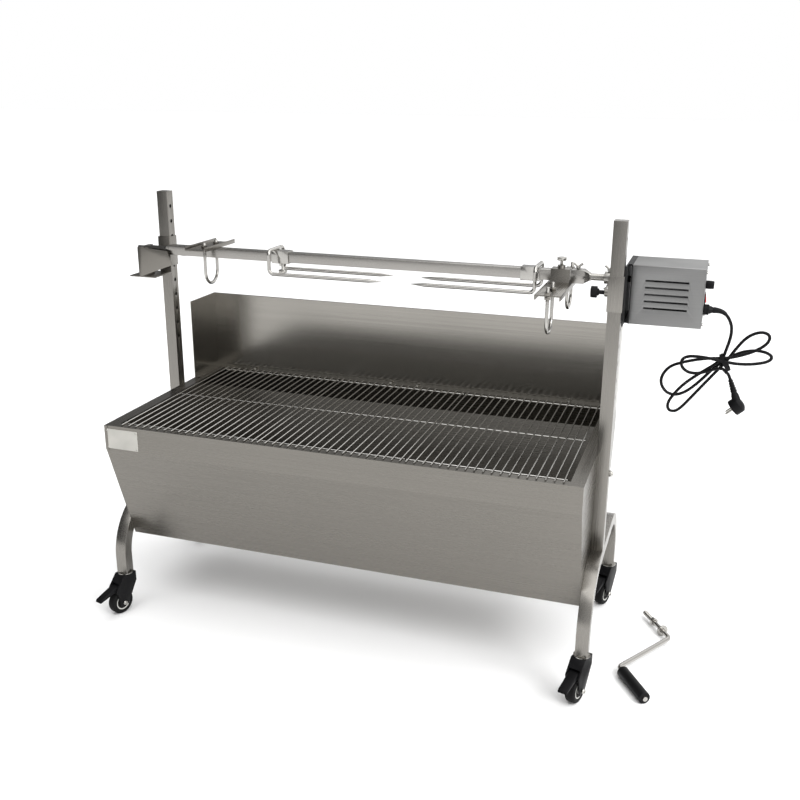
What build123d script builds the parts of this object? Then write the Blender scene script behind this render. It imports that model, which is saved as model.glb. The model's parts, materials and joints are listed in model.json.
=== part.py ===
import os
from math import cos, pi, radians, sin, sqrt, tan

from build123d import *

os.makedirs("parts", exist_ok=True)

# Rotisserie spit roaster: a charcoal trough on two arched end frames, with a motor-driven spit
# between two posts. +X runs along the spit towards the motor, +Y to the rear, +Z up.
# The origin is on the floor under the middle of the whole machine. Sizes in mm.

# firebox
trough_length = 1200.0
trough_width = 586.0
trough_depth = 335.0
rim_height = 550.0
band_height = 65.0
slope_run = 92.0
sheet = 1.5
rim_flange = 24.0
end_flange = 32.0
lip_width = 8.0
# wind guard behind the trough
guard_height = 225.0
wing_depth = 140.0
guard_foot = 18.0
guard_hem = 8.0
guard_screw_inner = 40.0
guard_screw_outer = trough_length / 2 - 128.0
screw_radius = 2.5
screw_head_radius = 5.0
screw_head_height = 3.0
# cooking grates
grate_count = 3
grate_gap = 4.0
grate_rod = 4.0
grate_pitch = 20.0
grate_reach = 9.0
grate_cross_inset = 8.0
weld_sink = 0.4
# end frames
tube = 30.0
tube_wall = 2.0
arch_height = 310.0
arch_span = 510.0
arch_bend = 135.0
leg_bottom = 112.0
leg_plug = 22.0
post_top = 1092.0
post_offset = 81.5
hole_pitch = 40.0
hole_radius = 5.0
hole_count = 10
frame_bolt_radius = 4.0
frame_bolt_drop = 45.0
frame_bolt_tail = 10.0
# casters
wheel_radius = 33.0
wheel_width = 24.0
hub_radius = 21.0
axle_radius = 4.0
caster_trail = 24.0
caster_heading = -107.0
stem_radius = 7.0
hood_radius = 24.0
hood_cheek = 4.0
hood_seat_gap = 2.0
hood_nose = 22.0
hood_nose_drop = 34.0
hood_heel_drop = 26.0
axle_land = 12.0
axle_land_drop = 8.0
wheel_side_gap = 2.0
tyre_gap = 3.0
pedal_width = 24.0
pedal_root = 24.0
pedal_z = 78.0
# pedal section from its root
pedal_outline = ((0.0, 5.0), (20.0, 5.0), (68.0, -13.0), (72.0, -20.0), (26.0, -9.0), (0.0, -4.0))
stem_length = 26.0
axle_end = 4.0
tyre_round = 5.0
# height slides on the posts
slide_gap = 0.3
sleeve_wall = 2.0
sleeve_height = 80.0
sleeve_hole = 4
lock_radius = 4.8
lock_travel = 12.0
lock_boss_radius = 9.0
lock_boss_length = 8.0
knob_radius = 13.0
knob_neck = 8.0
knob_height = 18.0
knob_neck_height = 4.0
# spit
spit_above_sleeve = 18.0
bar = 25.0
bar_wall = 2.0
bar_left = trough_length / 2 - 44.0
bar_right = trough_length / 2 - 97.0
shaft_radius = 8.0
neck_radius = 6.0
neck_start = trough_length / 2 + 16.0
neck_end = trough_length / 2 + 54.0
socket_size = 31.0
socket_length = 28.0
taper_length = 18.0
running_gap = 0.05
# left cradle
cradle_thickness = 12.0
cradle_outer = trough_length / 2 + tube + 15.0
cradle_front = 21.5
cradle_depth = 58.0
cradle_tip = trough_length / 2 - 57.0
cradle_top = 4.0
cradle_drop = 76.0
cradle_foot = 30.0
cradle_web_top = 2.0
cradle_web_drop = 38.0
bracket_sheet = 3.0
# drive unit
motor_gap = 11.0
motor_length = 157.0
motor_depth = 124.0
motor_height = 133.0
motor_drop = 88.0
motor_front = 67.0
slot_count = 5
slot_length = 93.0
slot_width = 4.0
slot_pitch = 15.3
slot_start = 31.0
slot_rise = 11.5
base_sheet = 2.0
cover_round = 3.0
gear_length = 45.0
gear_bore = 20.0
gear_half_width = 32.0
gear_above = 28.0
gear_below = 70.0
motor_can_radius = 34.0
motor_can_length = 78.0
motor_can_drop = 24.0
shaft_air = 2.0
bracket_inset = 6.0
corner_screw_inset = 9.0
corner_screw_radius = 3.5
corner_screw_height = 2.0
wing_shank = 3.0
wing_collar_radius = 5.0
wing_collar_height = 6.0
wing_radius = 2.6
wing_reach = 11.0
coupling_start = trough_length / 2 - 22.0
coupling_radius = 14.0
coupling_length = 40.0
shaft_entry = 28.0
coupling_screw = 10.0
gland_radius = 12.0
gland_length = 22.0
gland_drop = 56.0
gland_ring = 6.0
dial_radius = 9.0
dial_length = 16.0
dial_spindle = 3.0
dial_pointer = 3.0
switch_drop = 31.0
switch_height = 18.0
switch_width = 13.0
switch_tilt = 8.0
switch_frame = 2.5
switch_frame_height = 2.0
switch_depth = 6.0
switch_gap = 0.5
# forks
fork_rod = 9.0
fork_collar = 45.0
fork_half_width = 43.0
fork_drop = 38.0
fork_length = trough_length / 2 - 300.0
fork_left_x = -trough_length / 2 + 350.0
fork_right_x = trough_length / 2 - 175.0
fork_point = 34.0
fork_tip_radius = 0.8
fork_setback = 5.0
collar_wall = 3.0
fork_bend = 12.0
boss_radius = 9.0
boss_height = 7.0
thumb_shank = 3.5
thumb_neck = 11.0
thumb_head = 7.0
thumb_head_radius = 11.0
# back clamps
clamp_width = 58.0
clamp_sheet = 3.0
clamp_edge = 11.0
clamp_left_x = -trough_length / 2 + 162.0
clamp_left_length = 160.0
clamp_right_x = trough_length / 2 - 122.0
clamp_right_length = 340.0
clamp_collar = 44.0
ubolt_rod = 8.0
ubolt_half_span = 31.0
ubolt_length = 112.0
ubolt_pair_offset = 135.0
nut_width = 13.0
nut_height = 6.5
ubolt_left_rise = 15.0
ubolt_right_rise = 18.0
leg_gap = 0.4
# hand crank kept on the floor
crank_rod = 12.0
crank_grip_radius = 15.0
crank_grip_length = 118.0
crank_bend = 16.0
crank_nut_place = 44.0
crank_nut_width = 19.0
crank_nut_height = 10.0
crank_washer_place = 94.0
crank_washer_height = 3.0
# mains cord
cord_diameter = 7.0
hank_thickness = 34.0
tie_out = 34.7
tie_drop = 115.0
plug_radius = 19.0
plug_depth = 26.0
plug_neck_radius = 5.0
plug_shoulder_radius = 9.0
plug_pin_offset = 9.5
plug_pin_radius = 2.4
plug_pin_length = 19.0
clearance = 0.3

# reach of the whole machine from the trough centre, which centres it on the origin
left_reach = cradle_outer + cradle_foot
right_reach = trough_length / 2 + tube + sleeve_wall + slide_gap + motor_gap + motor_length + gland_length
front_reach = -40.0
back_reach = trough_width + 2.0
mid_x = (left_reach - right_reach) / 2
front_y = -(front_reach + back_reach) / 2

x_left = mid_x - trough_length / 2
x_right = mid_x + trough_length / 2
y_front = front_y
y_back = y_front + trough_width
mid_y = (y_front + y_back) / 2
z_rim = rim_height
z_floor = z_rim - trough_depth
z_band = z_rim - band_height
sleeve_z = post_top - sleeve_hole * hole_pitch
spit_z = sleeve_z + spit_above_sleeve


def block(x0, x1, y0, y1, z0, z1, mode=Mode.ADD):
    """A box between two corners, in the part being built."""
    with Locations(((x0 + x1) / 2, (y0 + y1) / 2, (z0 + z1) / 2)):
        Box(x1 - x0, y1 - y0, z1 - z0, mode=mode)


def peg(start, direction, radius, length, mode=Mode.ADD):
    """A round bar from a point along a direction, in the part being built."""
    with Locations(Plane(origin=start, z_dir=direction)):
        Cylinder(radius, length, align=(Align.CENTER, Align.CENTER, Align.MIN), mode=mode)


def cone(start, direction, radius, end_radius, length, mode=Mode.ADD):
    """A tapered round bar from a point along a direction, in the part being built."""
    with Locations(Plane(origin=start, z_dir=direction)):
        Cone(radius, end_radius, length, align=(Align.CENTER, Align.CENTER, Align.MIN), mode=mode)


def hexagon(start, direction, across, height):
    """A hexagonal nut from a point along a direction, in the part being built."""
    with Locations(Plane(origin=start, z_dir=direction)):
        with PolarLocations(0, 3, angular_range=180):
            Box(across, across / sqrt(3), height, align=(Align.CENTER, Align.CENTER, Align.MIN))


def keep_both(piece, other):
    """Put a second piece in the first one's file, still as separate solids."""
    piece.part = Part(Compound(piece.part.solids() + other.part.solids()).wrapped)


def save(piece, name):
    piece.part.label = name
    export_step(piece.part, f"parts/{name}.step")


# ---------------------------------------------------------------- firebox


def firebox_side(name, y_edge, inward):
    """Upright band and slope of one long side, bent from one sheet, with a strip welded on as its rim."""
    outline = [
        (y_edge, z_rim),
        (y_edge, z_band),
        (y_edge + inward * slope_run, z_floor),
    ]
    with BuildPart() as panel:
        with BuildSketch(Plane.YZ.offset(x_left + sheet)):
            with BuildLine():
                Polyline(*outline)
                offset(amount=sheet, side=Side.LEFT if inward > 0 else Side.RIGHT)
            make_face()
        extrude(amount=trough_length - 2 * sheet)
    y_weld = y_edge + inward * sheet
    y_inner = y_edge + inward * rim_flange
    with BuildPart() as rim:
        block(x_left + sheet, x_right - sheet, min(y_weld, y_inner), max(y_weld, y_inner),
              z_rim - sheet, z_rim)
    keep_both(panel, rim)
    save(panel, name)


firebox_side("firebox_front", y_front, 1)
firebox_side("firebox_back", y_back, -1)

with BuildPart() as firebox_floor:
    block(
        x_left + sheet,
        x_right - sheet,
        y_front + slope_run,
        y_back - slope_run,
        z_floor - sheet,
        z_floor,
    )
save(firebox_floor, "firebox_floor")


def firebox_end(name, x_outer, inward):
    """End plate with its top flange and the lips that wrap the long sides."""
    profile = [
        (y_front, z_rim),
        (y_front, z_band),
        (y_front + slope_run, z_floor - sheet),
        (y_back - slope_run, z_floor - sheet),
        (y_back, z_band),
        (y_back, z_rim),
    ]
    x_inner = x_outer + inward * sheet
    x_flange = x_outer + inward * end_flange
    with BuildPart() as plate:
        with BuildSketch(Plane.YZ.offset(min(x_outer, x_inner))):
            with BuildLine():
                Polyline(*profile, close=True)
            make_face()
        extrude(amount=sheet)
        block(
            min(x_inner, x_flange),
            max(x_inner, x_flange),
            y_front + rim_flange,
            y_back - rim_flange,
            z_rim - sheet,
            z_rim,
        )
        x_lip = x_outer + inward * lip_width
        for y_lip in (y_front - sheet, y_back):
            block(min(x_outer, x_lip), max(x_outer, x_lip), y_lip, y_lip + sheet, z_band, z_rim)
    save(plate, name)


firebox_end("firebox_left_end", x_left, 1)
firebox_end("firebox_right_end", x_right, -1)

# ---------------------------------------------------------------- wind guard

guard_top = z_rim + guard_height
screw_y = y_back - guard_foot / 2
guard_screw_offsets = (-guard_screw_outer, -guard_screw_inner, guard_screw_inner, guard_screw_outer)
with BuildPart() as guard_panel:
    block(x_left + sheet, x_right - sheet, y_back - sheet, y_back, z_rim, guard_top)
    block(x_left + sheet, x_right - sheet, y_back - guard_foot, y_back, z_rim, z_rim + sheet)
    block(x_left + sheet, x_right - sheet, y_back - guard_hem, y_back, guard_top - sheet, guard_top)
    for offset_x in guard_screw_offsets:
        peg((mid_x + offset_x, screw_y, z_rim), (0, 0, 1), screw_radius + 0.1, sheet, Mode.SUBTRACT)
save(guard_panel, "wind_guard_back")


with BuildPart() as guard_wings:
    for x_outer, inward in ((x_left, 1), (x_right, -1)):
        x_inner = x_outer + inward * sheet
        x_foot = x_outer + inward * guard_foot
        wing_front = y_back - wing_depth
        block(min(x_outer, x_inner), max(x_outer, x_inner), wing_front, y_back, z_rim, guard_top)
        block(min(x_outer, x_foot), max(x_outer, x_foot), wing_front, y_back - guard_foot - clearance,
              z_rim, z_rim + sheet)
save(guard_wings, "wind_guard_wings")

# ---------------------------------------------------------------- grates

grate_field = trough_length - 2 * lip_width - 2 * end_flange
grate_length = (grate_field - (grate_count - 1) * grate_gap) / grate_count
grate_rods = int((grate_length - grate_rod) / grate_pitch) + 1
grate_y0 = y_front + grate_reach
grate_y1 = y_back - guard_foot - clearance
grate_z = z_rim + grate_rod / 2 + clearance
cross_z = grate_z - grate_rod + weld_sink
cross_y = (y_front + rim_flange + grate_cross_inset, mid_y, y_back - rim_flange - grate_cross_inset)
for number in range(grate_count):
    grate_x0 = x_left + lip_width + end_flange + number * (grate_length + grate_gap)
    first_rod = grate_x0 + (grate_length - (grate_rods - 1) * grate_pitch) / 2
    with BuildPart() as grate:
        with Locations(*[Plane((first_rod + i * grate_pitch, grate_y0, grate_z), z_dir=(0, 1, 0))
                         for i in range(grate_rods)]):
            Cylinder(grate_rod / 2, grate_y1 - grate_y0, align=(Align.CENTER, Align.CENTER, Align.MIN))
        with Locations(*[Plane((grate_x0, y, cross_z), z_dir=(1, 0, 0)) for y in cross_y]):
            Cylinder(grate_rod / 2, grate_length, align=(Align.CENTER, Align.CENTER, Align.MIN))
    save(grate, f"grate_{number + 1}")

# ---------------------------------------------------------------- end frames

leg_front = mid_y - arch_span / 2 + tube / 2
leg_back = mid_y + arch_span / 2 - tube / 2
arch_z = arch_height - tube / 2


def frame_side(side):
    """-1 for the left end, 1 for the right end: centre of its tubes along X."""
    return mid_x + side * (trough_length / 2 + tube / 2)


def post_y(side):
    """The posts stand on opposite sides of the spit."""
    return mid_y - side * post_offset


def leg_arch(name, side):
    """Square tube bent into an arch that carries one end."""
    x = frame_side(side)
    with BuildPart() as arch:
        with BuildLine():
            FilletPolyline(
                (x, leg_front, leg_bottom),
                (x, leg_front, arch_z),
                (x, leg_back, arch_z),
                (x, leg_back, leg_bottom),
                radius=arch_bend,
            )
        with BuildSketch(Plane.XY.offset(leg_bottom)):
            with Locations((x, leg_front)):
                Rectangle(tube, tube)
                Rectangle(tube - 2 * tube_wall, tube - 2 * tube_wall, mode=Mode.SUBTRACT)
        sweep()
        inner = tube / 2 - tube_wall
        for y in (leg_front, leg_back):
            block(x - inner, x + inner, y - inner, y + inner, leg_bottom, leg_bottom + leg_plug)
            peg((x, y, leg_bottom), (0, 0, 1), stem_radius + running_gap, leg_plug, Mode.SUBTRACT)
    save(arch, name)


def post(name, side):
    """Capped square tube with a row of holes for the lock pin."""
    x = frame_side(side)
    y = post_y(side)
    with BuildPart() as column:
        with BuildSketch(Plane.XY.offset(arch_height)):
            with Locations((x, y)):
                Rectangle(tube, tube)
        extrude(amount=post_top - arch_height)
        inner = tube / 2 - tube_wall
        block(x - inner, x + inner, y - inner, y + inner, arch_height, post_top - tube_wall, Mode.SUBTRACT)
        for i in range(hole_count):
            hole_z = post_top - hole_pitch * (i + 1)
            peg((x - tube, y, hole_z), (1, 0, 0), hole_radius, 2 * tube, Mode.SUBTRACT)
        bolt_z = z_rim - frame_bolt_drop
        peg((x - tube, y, bolt_z), (1, 0, 0), frame_bolt_radius + 0.2, 2 * tube, Mode.SUBTRACT)
    save(column, name)


for side, word in ((-1, "left"), (1, "right")):
    leg_arch(f"{word}_leg_arch", side)
    post(f"{word}_post", side)

with BuildPart() as frame_fasteners:
    for side in (-1, 1):
        x_face = mid_x + side * (trough_length / 2 + tube)
        start = (x_face, post_y(side), z_rim - frame_bolt_drop)
        peg(start, (-side, 0, 0), frame_bolt_radius, tube)
        peg(start, (side, 0, 0), frame_bolt_radius, frame_bolt_tail)
        hexagon(start, (side, 0, 0), nut_width, nut_height)
    for offset_x in guard_screw_offsets:
        centre = (mid_x + offset_x, screw_y, z_rim + sheet)
        peg(centre, (0, 0, 1), screw_head_radius, screw_head_height)
        peg(centre, (0, 0, -1), screw_radius, sheet)
save(frame_fasteners, "frame_fasteners")

# ---------------------------------------------------------------- casters

heading = Vector(cos(radians(caster_heading)), sin(radians(caster_heading)), 0)
sideways = Vector(-heading.Y, heading.X, 0)


def caster(name, x, y):
    """Swivel hood with stem and axle over one wide wheel, braked by a foot pedal."""
    ground = Vector(x, y, 0)
    hub = ground + heading * caster_trail + Vector(0, 0, wheel_radius)
    side_plane = Plane(origin=ground, x_dir=heading, z_dir=heading.cross(Vector(0, 0, 1)))
    hood_top = leg_bottom - hood_seat_gap
    half_gap = wheel_width / 2 + wheel_side_gap
    half_hood = half_gap + hood_cheek
    tail = hood_radius - hood_cheek
    with BuildPart() as hood:
        with BuildSketch(side_plane):
            with BuildLine():
                Polyline(
                    (-tail, hood_top),
                    (tail, hood_top),
                    (caster_trail + hood_nose, hood_top - hood_nose_drop),
                    (caster_trail + axle_land, wheel_radius - axle_land_drop),
                    (caster_trail - axle_land, wheel_radius - axle_land_drop),
                    (-tail, hood_top - hood_heel_drop),
                    close=True,
                )
            make_face()
        extrude(amount=half_hood, both=True)
        with BuildSketch(side_plane):
            with Locations((caster_trail, wheel_radius)):
                Circle(wheel_radius + tyre_gap)
            with Locations((caster_trail, 0)):
                Rectangle(2 * (wheel_radius + tyre_gap), 2 * wheel_radius)
            with Locations((pedal_root - 2.0, pedal_z - 12.0)):
                Rectangle(60, 24, align=(Align.MIN, Align.MIN))
        extrude(amount=half_gap, both=True, mode=Mode.SUBTRACT)
        peg(ground + Vector(0, 0, hood_top), (0, 0, 1), stem_radius, stem_length)
        reach = half_hood + axle_end
        peg(hub - sideways * reach, sideways, axle_radius, 2 * reach)
    save(hood, f"caster_hood_{name}")
    start = hub - sideways * (wheel_width / 2)
    with BuildPart() as wheel:
        peg(start, sideways, wheel_radius, wheel_width)
        fillet(wheel.edges().filter_by(GeomType.CIRCLE), tyre_round)
        peg(start, sideways, hub_radius, wheel_width, Mode.SUBTRACT)
    with BuildPart() as hub_core:
        peg(start, sideways, hub_radius, wheel_width)
        peg(start, sideways, axle_radius + running_gap, wheel_width, Mode.SUBTRACT)
    keep_both(wheel, hub_core)
    save(wheel, f"caster_wheel_{name}")
    with BuildPart() as pedal:
        with BuildSketch(side_plane):
            with BuildLine():
                Polyline(*[(pedal_root + x, pedal_z + z) for x, z in pedal_outline], close=True)
            make_face()
        extrude(amount=pedal_width / 2, both=True)
    save(pedal, f"caster_pedal_{name}")


corners = {
    "front_left": (frame_side(-1), leg_front),
    "front_right": (frame_side(1), leg_front),
    "rear_left": (frame_side(-1), leg_back),
    "rear_right": (frame_side(1), leg_back),
}
for corner_name, (corner_x, corner_y) in corners.items():
    caster(corner_name, corner_x, corner_y)

# ---------------------------------------------------------------- height slides

sleeve_inner = tube / 2 + slide_gap
sleeve_outer = sleeve_inner + sleeve_wall
sleeve_low = sleeve_z - sleeve_height / 2
sleeve_high = sleeve_z + sleeve_height / 2


def height_slide(word, side):
    """Square sleeve round a post, with the sprung pin that locks it held back at its stop."""
    x = frame_side(side)
    y = post_y(side)
    inward = (-side, 0, 0)
    boss_end = x - side * (sleeve_outer + lock_boss_length)
    with BuildPart() as sleeve:
        block(x - sleeve_outer, x + sleeve_outer, y - sleeve_outer, y + sleeve_outer,
              sleeve_low, sleeve_high)
        peg((x - side * sleeve_outer, y, sleeve_z), inward, lock_boss_radius, lock_boss_length)
        block(x - sleeve_inner, x + sleeve_inner, y - sleeve_inner, y + sleeve_inner,
              sleeve_low, sleeve_high, Mode.SUBTRACT)
        bore = sleeve_wall + lock_boss_length
        peg((x - side * sleeve_inner, y, sleeve_z), inward, lock_radius + running_gap, bore, Mode.SUBTRACT)
    save(sleeve, f"{word}_sleeve")
    knob_start = boss_end - side * (lock_travel + clearance)
    with BuildPart() as lock_pin:
        tip = x - side * sleeve_inner
        peg((tip, y, sleeve_z), inward, lock_radius, abs(knob_start - tip) + 1.0)
        peg((knob_start, y, sleeve_z), inward, knob_neck, knob_height)
        peg((knob_start - side * knob_neck_height, y, sleeve_z), inward, knob_radius,
            knob_height - knob_neck_height)
    save(lock_pin, f"{word}_lock_pin")


height_slide("left", -1)
height_slide("right", 1)

with BuildPart() as left_cradle:
    cheek_x = mid_x - cradle_outer
    plate_y = mid_y - cradle_front
    shelf_z = spit_z - cradle_drop
    slide_y = post_y(-1) - sleeve_outer
    slide_x0 = frame_side(-1) - sleeve_outer
    slide_x1 = frame_side(-1) + sleeve_outer
    block(cheek_x, cheek_x + cradle_thickness, plate_y, plate_y + cradle_depth, shelf_z, spit_z + cradle_top)
    with BuildSketch(Plane.XZ.offset(-(plate_y + bracket_sheet))):
        with BuildLine():
            Polyline(
                (cheek_x, shelf_z),
                (cheek_x, spit_z + cradle_top),
                (mid_x - bar_left, spit_z - cradle_web_top),
                (mid_x - cradle_tip, spit_z - cradle_web_drop),
                close=True,
            )
        make_face()
    extrude(amount=bracket_sheet)
    block(cheek_x, slide_x1, plate_y, slide_y, shelf_z, shelf_z + bracket_sheet)
    block(cheek_x - cradle_foot, cheek_x, plate_y, plate_y + cradle_depth, shelf_z, shelf_z + bracket_sheet)
    block(slide_x0, slide_x1, slide_y - bracket_sheet, slide_y, shelf_z, sleeve_high)
    neck_room = neck_radius + clearance
    block(cheek_x, cheek_x + cradle_thickness, mid_y - neck_room, mid_y + neck_room,
          spit_z, spit_z + cradle_top, Mode.SUBTRACT)
    peg((cheek_x, mid_y, spit_z), (1, 0, 0), neck_room, cradle_thickness, Mode.SUBTRACT)
save(left_cradle, "left_cradle")

# ---------------------------------------------------------------- drive unit

bracket_x = frame_side(1) + sleeve_outer
motor_x0 = bracket_x + motor_gap
motor_x1 = motor_x0 + motor_length
motor_y0 = mid_y - motor_front
motor_y1 = motor_y0 + motor_depth
motor_z0 = spit_z - motor_drop
motor_z1 = motor_z0 + motor_height
bracket_y = post_y(1) - sleeve_outer
shaft_room = shaft_radius + shaft_air

with BuildPart() as motor_bracket:
    block(bracket_x, bracket_x + bracket_sheet, bracket_y, motor_y1, motor_z0, motor_z1)
    for edge_z in (motor_z0, motor_z1 - bracket_sheet):
        block(bracket_x, motor_x0, motor_y0 + bracket_inset, motor_y1, edge_z, edge_z + bracket_sheet)
    peg((bracket_x, mid_y, spit_z), (1, 0, 0), shaft_room, bracket_sheet, Mode.SUBTRACT)
save(motor_bracket, "motor_bracket")

with BuildPart() as motor_base:
    block(motor_x0, motor_x0 + base_sheet, motor_y0, motor_y1, motor_z0, motor_z1)
    peg((motor_x0, mid_y, spit_z), (1, 0, 0), shaft_room, base_sheet, Mode.SUBTRACT)
save(motor_base, "motor_base_plate")

with BuildPart() as motor_cover:
    block(motor_x0 + base_sheet, motor_x1 - sheet, motor_y0, motor_y1, motor_z0, motor_z1)
    fillet(motor_cover.edges().filter_by(Axis.X), cover_round)
    block(motor_x0 + base_sheet, motor_x1 - sheet, motor_y0 + sheet, motor_y1 - sheet,
          motor_z0 + sheet, motor_z1 - sheet, Mode.SUBTRACT)
    slot_x = motor_x0 + slot_start + slot_length / 2
    for i in range(slot_count):
        with Locations((slot_x, (motor_y0 + motor_y1) / 2, spit_z + slot_rise - i * slot_pitch)):
            Box(slot_length, motor_depth + 2.0, slot_width, mode=Mode.SUBTRACT)
save(motor_cover, "motor_cover")

dial_y = (motor_y0 + motor_y1) / 2
switch_z = spit_z - switch_drop
gland_z = spit_z - gland_drop
with BuildPart() as motor_end:
    block(motor_x1 - sheet, motor_x1, motor_y0, motor_y1, motor_z0, motor_z1)
    fillet(motor_end.edges().filter_by(Axis.X), cover_round)
    peg((motor_x1 - sheet, dial_y, spit_z), (1, 0, 0), dial_spindle + running_gap, sheet, Mode.SUBTRACT)
    half_height = switch_height / 2 + 2 * switch_gap
    half_width = switch_width / 2 + switch_gap
    block(motor_x1, motor_x1 + switch_frame_height,
          dial_y - half_width - switch_frame, dial_y + half_width + switch_frame,
          switch_z - half_height - switch_frame, switch_z + half_height + switch_frame)
    block(motor_x1 - sheet, motor_x1 + switch_frame_height, dial_y - half_width, dial_y + half_width,
          switch_z - half_height, switch_z + half_height, Mode.SUBTRACT)
    screw_across = motor_depth / 2 - corner_screw_inset
    screw_up = motor_height / 2 - corner_screw_inset
    motor_mid_z = (motor_z0 + motor_z1) / 2
    for sign_y in (-1, 1):
        for sign_z in (-1, 1):
            corner = (motor_x1, dial_y + sign_y * screw_across, motor_mid_z + sign_z * screw_up)
            peg(corner, (1, 0, 0), corner_screw_radius, corner_screw_height)
save(motor_end, "motor_end_panel")

with BuildPart() as gear_motor:
    gear_x0 = motor_x0 + base_sheet
    gear_x1 = gear_x0 + gear_length
    block(gear_x0, gear_x1, mid_y - gear_half_width, mid_y + gear_half_width,
          spit_z - gear_below, spit_z + gear_above)
    peg((gear_x1, mid_y, spit_z - motor_can_drop), (1, 0, 0), motor_can_radius, motor_can_length)
    peg((gear_x0, mid_y, spit_z), (1, 0, 0), shaft_radius + running_gap, gear_bore, Mode.SUBTRACT)
save(gear_motor, "gear_motor")

with BuildPart() as gland:
    cap_x = motor_x1 + 2 * gland_ring
    peg((motor_x1, dial_y, gland_z), (1, 0, 0), gland_radius, gland_ring)
    peg((motor_x1 + gland_ring, dial_y, gland_z), (1, 0, 0), gland_radius - 1.0, gland_ring)
    cone((cap_x, dial_y, gland_z), (1, 0, 0), gland_radius - 2.0, gland_ring, gland_length - 2 * gland_ring)
save(gland, "cable_gland")

with BuildPart() as dial:
    peg((motor_x1 + clearance, dial_y, spit_z), (1, 0, 0), dial_radius, dial_length)
    half_pointer = dial_pointer / 2
    block(motor_x1 + dial_pointer, motor_x1 + dial_length + 2.0,
          dial_y - half_pointer, dial_y + half_pointer,
          spit_z - dial_radius + 1.0, spit_z + dial_radius - 1.0)
    peg((motor_x1 + 1.0, dial_y, spit_z), (-1, 0, 0), dial_spindle, dial_length / 2)
save(dial, "speed_dial")

with BuildPart() as switch:
    with Locations(Location((motor_x1 + 1.0, dial_y, switch_z), (0, -switch_tilt, 0))):
        Box(switch_depth, switch_width, switch_height)
save(switch, "power_switch")

# ---------------------------------------------------------------- spit

half_bar = bar / 2
with BuildPart() as spit_bar:
    with BuildSketch(Plane.YZ.offset(mid_x - bar_left)):
        with Locations((mid_y, spit_z)):
            Rectangle(bar, bar)
            Rectangle(bar - 2 * bar_wall, bar - 2 * bar_wall, mode=Mode.SUBTRACT)
    extrude(amount=bar_left + bar_right)
save(spit_bar, "spit_bar")


def taper(x, side, size, length):
    """Square to round transition at the end of the bar, in its own solid."""
    with BuildPart() as neck:
        with BuildSketch(Plane.YZ.offset(x)):
            with Locations((mid_y, spit_z)):
                Rectangle(size, size)
        with BuildSketch(Plane.YZ.offset(x + side * length)):
            with Locations((mid_y, spit_z)):
                Circle(shaft_radius)
        loft()
    return neck.part


left_taper = taper(mid_x - bar_left, -1, bar, taper_length)
socket_end = mid_x + bar_right + socket_length
right_taper = taper(socket_end, 1, socket_size, taper_length)
shaft_tip = mid_x + coupling_start + shaft_entry
with BuildPart() as left_shaft:
    add(left_taper)
    shaft_x = mid_x - bar_left - taper_length
    peg((shaft_x, mid_y, spit_z), (-1, 0, 0), shaft_radius, neck_start - bar_left - taper_length)
    peg((mid_x - neck_start, mid_y, spit_z), (-1, 0, 0), neck_radius, neck_end - neck_start)
with BuildPart() as right_shaft:
    add(right_taper)
    with Locations(((socket_end + mid_x + bar_right) / 2, mid_y, spit_z)):
        Box(socket_length, socket_size, socket_size)
    shaft_x = socket_end + taper_length
    peg((shaft_x, mid_y, spit_z), (1, 0, 0), shaft_radius, shaft_tip - shaft_x)
with BuildPart() as spit_shafts:
    add(left_shaft.part)
    add(right_shaft.part)
save(spit_shafts, "spit_end_shafts")

coupling_x = mid_x + coupling_start
screw_x = coupling_x + coupling_screw
with BuildPart() as drive_shaft:
    peg((coupling_x, mid_y, spit_z), (1, 0, 0), coupling_radius, coupling_length)
    shaft_start = coupling_x + coupling_length
    shaft_end = motor_x0 + base_sheet + gear_bore - 1.0
    peg((shaft_start, mid_y, spit_z), (1, 0, 0), shaft_radius, shaft_end - shaft_start)
    peg((coupling_x, mid_y, spit_z), (1, 0, 0), shaft_radius + running_gap, shaft_entry + 1.0, Mode.SUBTRACT)
    for up in (-1, 1):
        peg((screw_x, mid_y, spit_z), (0, 0, up), wing_shank + running_gap, coupling_radius, Mode.SUBTRACT)
save(drive_shaft, "drive_shaft")


def wing_screw(x, seat, up):
    """Wing screw pointing at the spit axis, in the part being built."""
    peg((x, mid_y, spit_z + up * (seat[0] + 0.2)), (0, 0, up), wing_shank, seat[1] - seat[0] + 5.0)
    top = spit_z + up * (seat[1] + 2.0)
    peg((x, mid_y, top), (0, 0, up), wing_collar_radius, wing_collar_height)
    for side_x in (-1, 1):
        wing = Vector(side_x * 0.75, 0, up * 0.66)
        peg(Vector(x, mid_y, top + up * wing_collar_height / 2) + wing * 2.0, wing, wing_radius, wing_reach)


with BuildPart() as wing_screws:
    wing_screw(screw_x, (shaft_radius, coupling_radius), 1)
    wing_screw(screw_x, (shaft_radius, coupling_radius), -1)
    wing_screw(mid_x + bar_right + socket_length / 2, (socket_size / 2, socket_size / 2), 1)
save(wing_screws, "spit_wing_screws")

# ---------------------------------------------------------------- forks

collar_inner = half_bar + clearance
collar_outer = collar_inner + collar_wall
boss_end = collar_outer + boss_height


def collar(x0, length):
    """Square tube that slides along the bar, in the part being built."""
    block(x0, x0 + length, mid_y - collar_outer, mid_y + collar_outer,
          spit_z - collar_outer, spit_z + collar_outer)


def collar_bore(x0, length):
    block(x0, x0 + length, mid_y - collar_inner, mid_y + collar_inner,
          spit_z - collar_inner, spit_z + collar_inner, Mode.SUBTRACT)


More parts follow.
